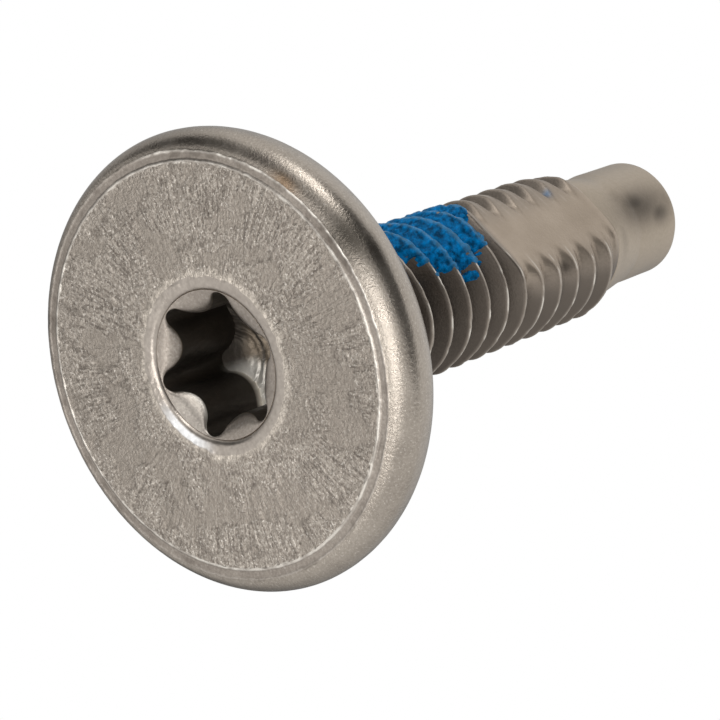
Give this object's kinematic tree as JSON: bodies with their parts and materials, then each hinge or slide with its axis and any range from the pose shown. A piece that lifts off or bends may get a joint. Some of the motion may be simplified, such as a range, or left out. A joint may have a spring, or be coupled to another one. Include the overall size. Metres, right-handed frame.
{
  "type": "washer head six-lobe machine screw",
  "caption": "Machine screw with a flat washer head, six-lobe socket, coarse right-hand thread, clearing flat, dog point and blue nylon thread-lock patch.",
  "frame": {"origin": "centre of the head's face, on the screw's axis, at the surface that the screw stands on", "axes": "+Z along the shank from the head's face to the dog point; +X and +Y across the head, with the first socket lobe 31 degrees from +X towards +Y"},
  "size_m": [0.0175, 0.0174, 0.0281],
  "materials": {
    "steel": "bare steel, shot-blast grain on the head, satin rolled thread",
    "nylon_patch": "matte fused nylon coating with a ragged edge"
  },
  "bodies": {
    "root": {"screw": "steel", "thread_lock_patch": "nylon_patch"}
  },
  "joints": []
}
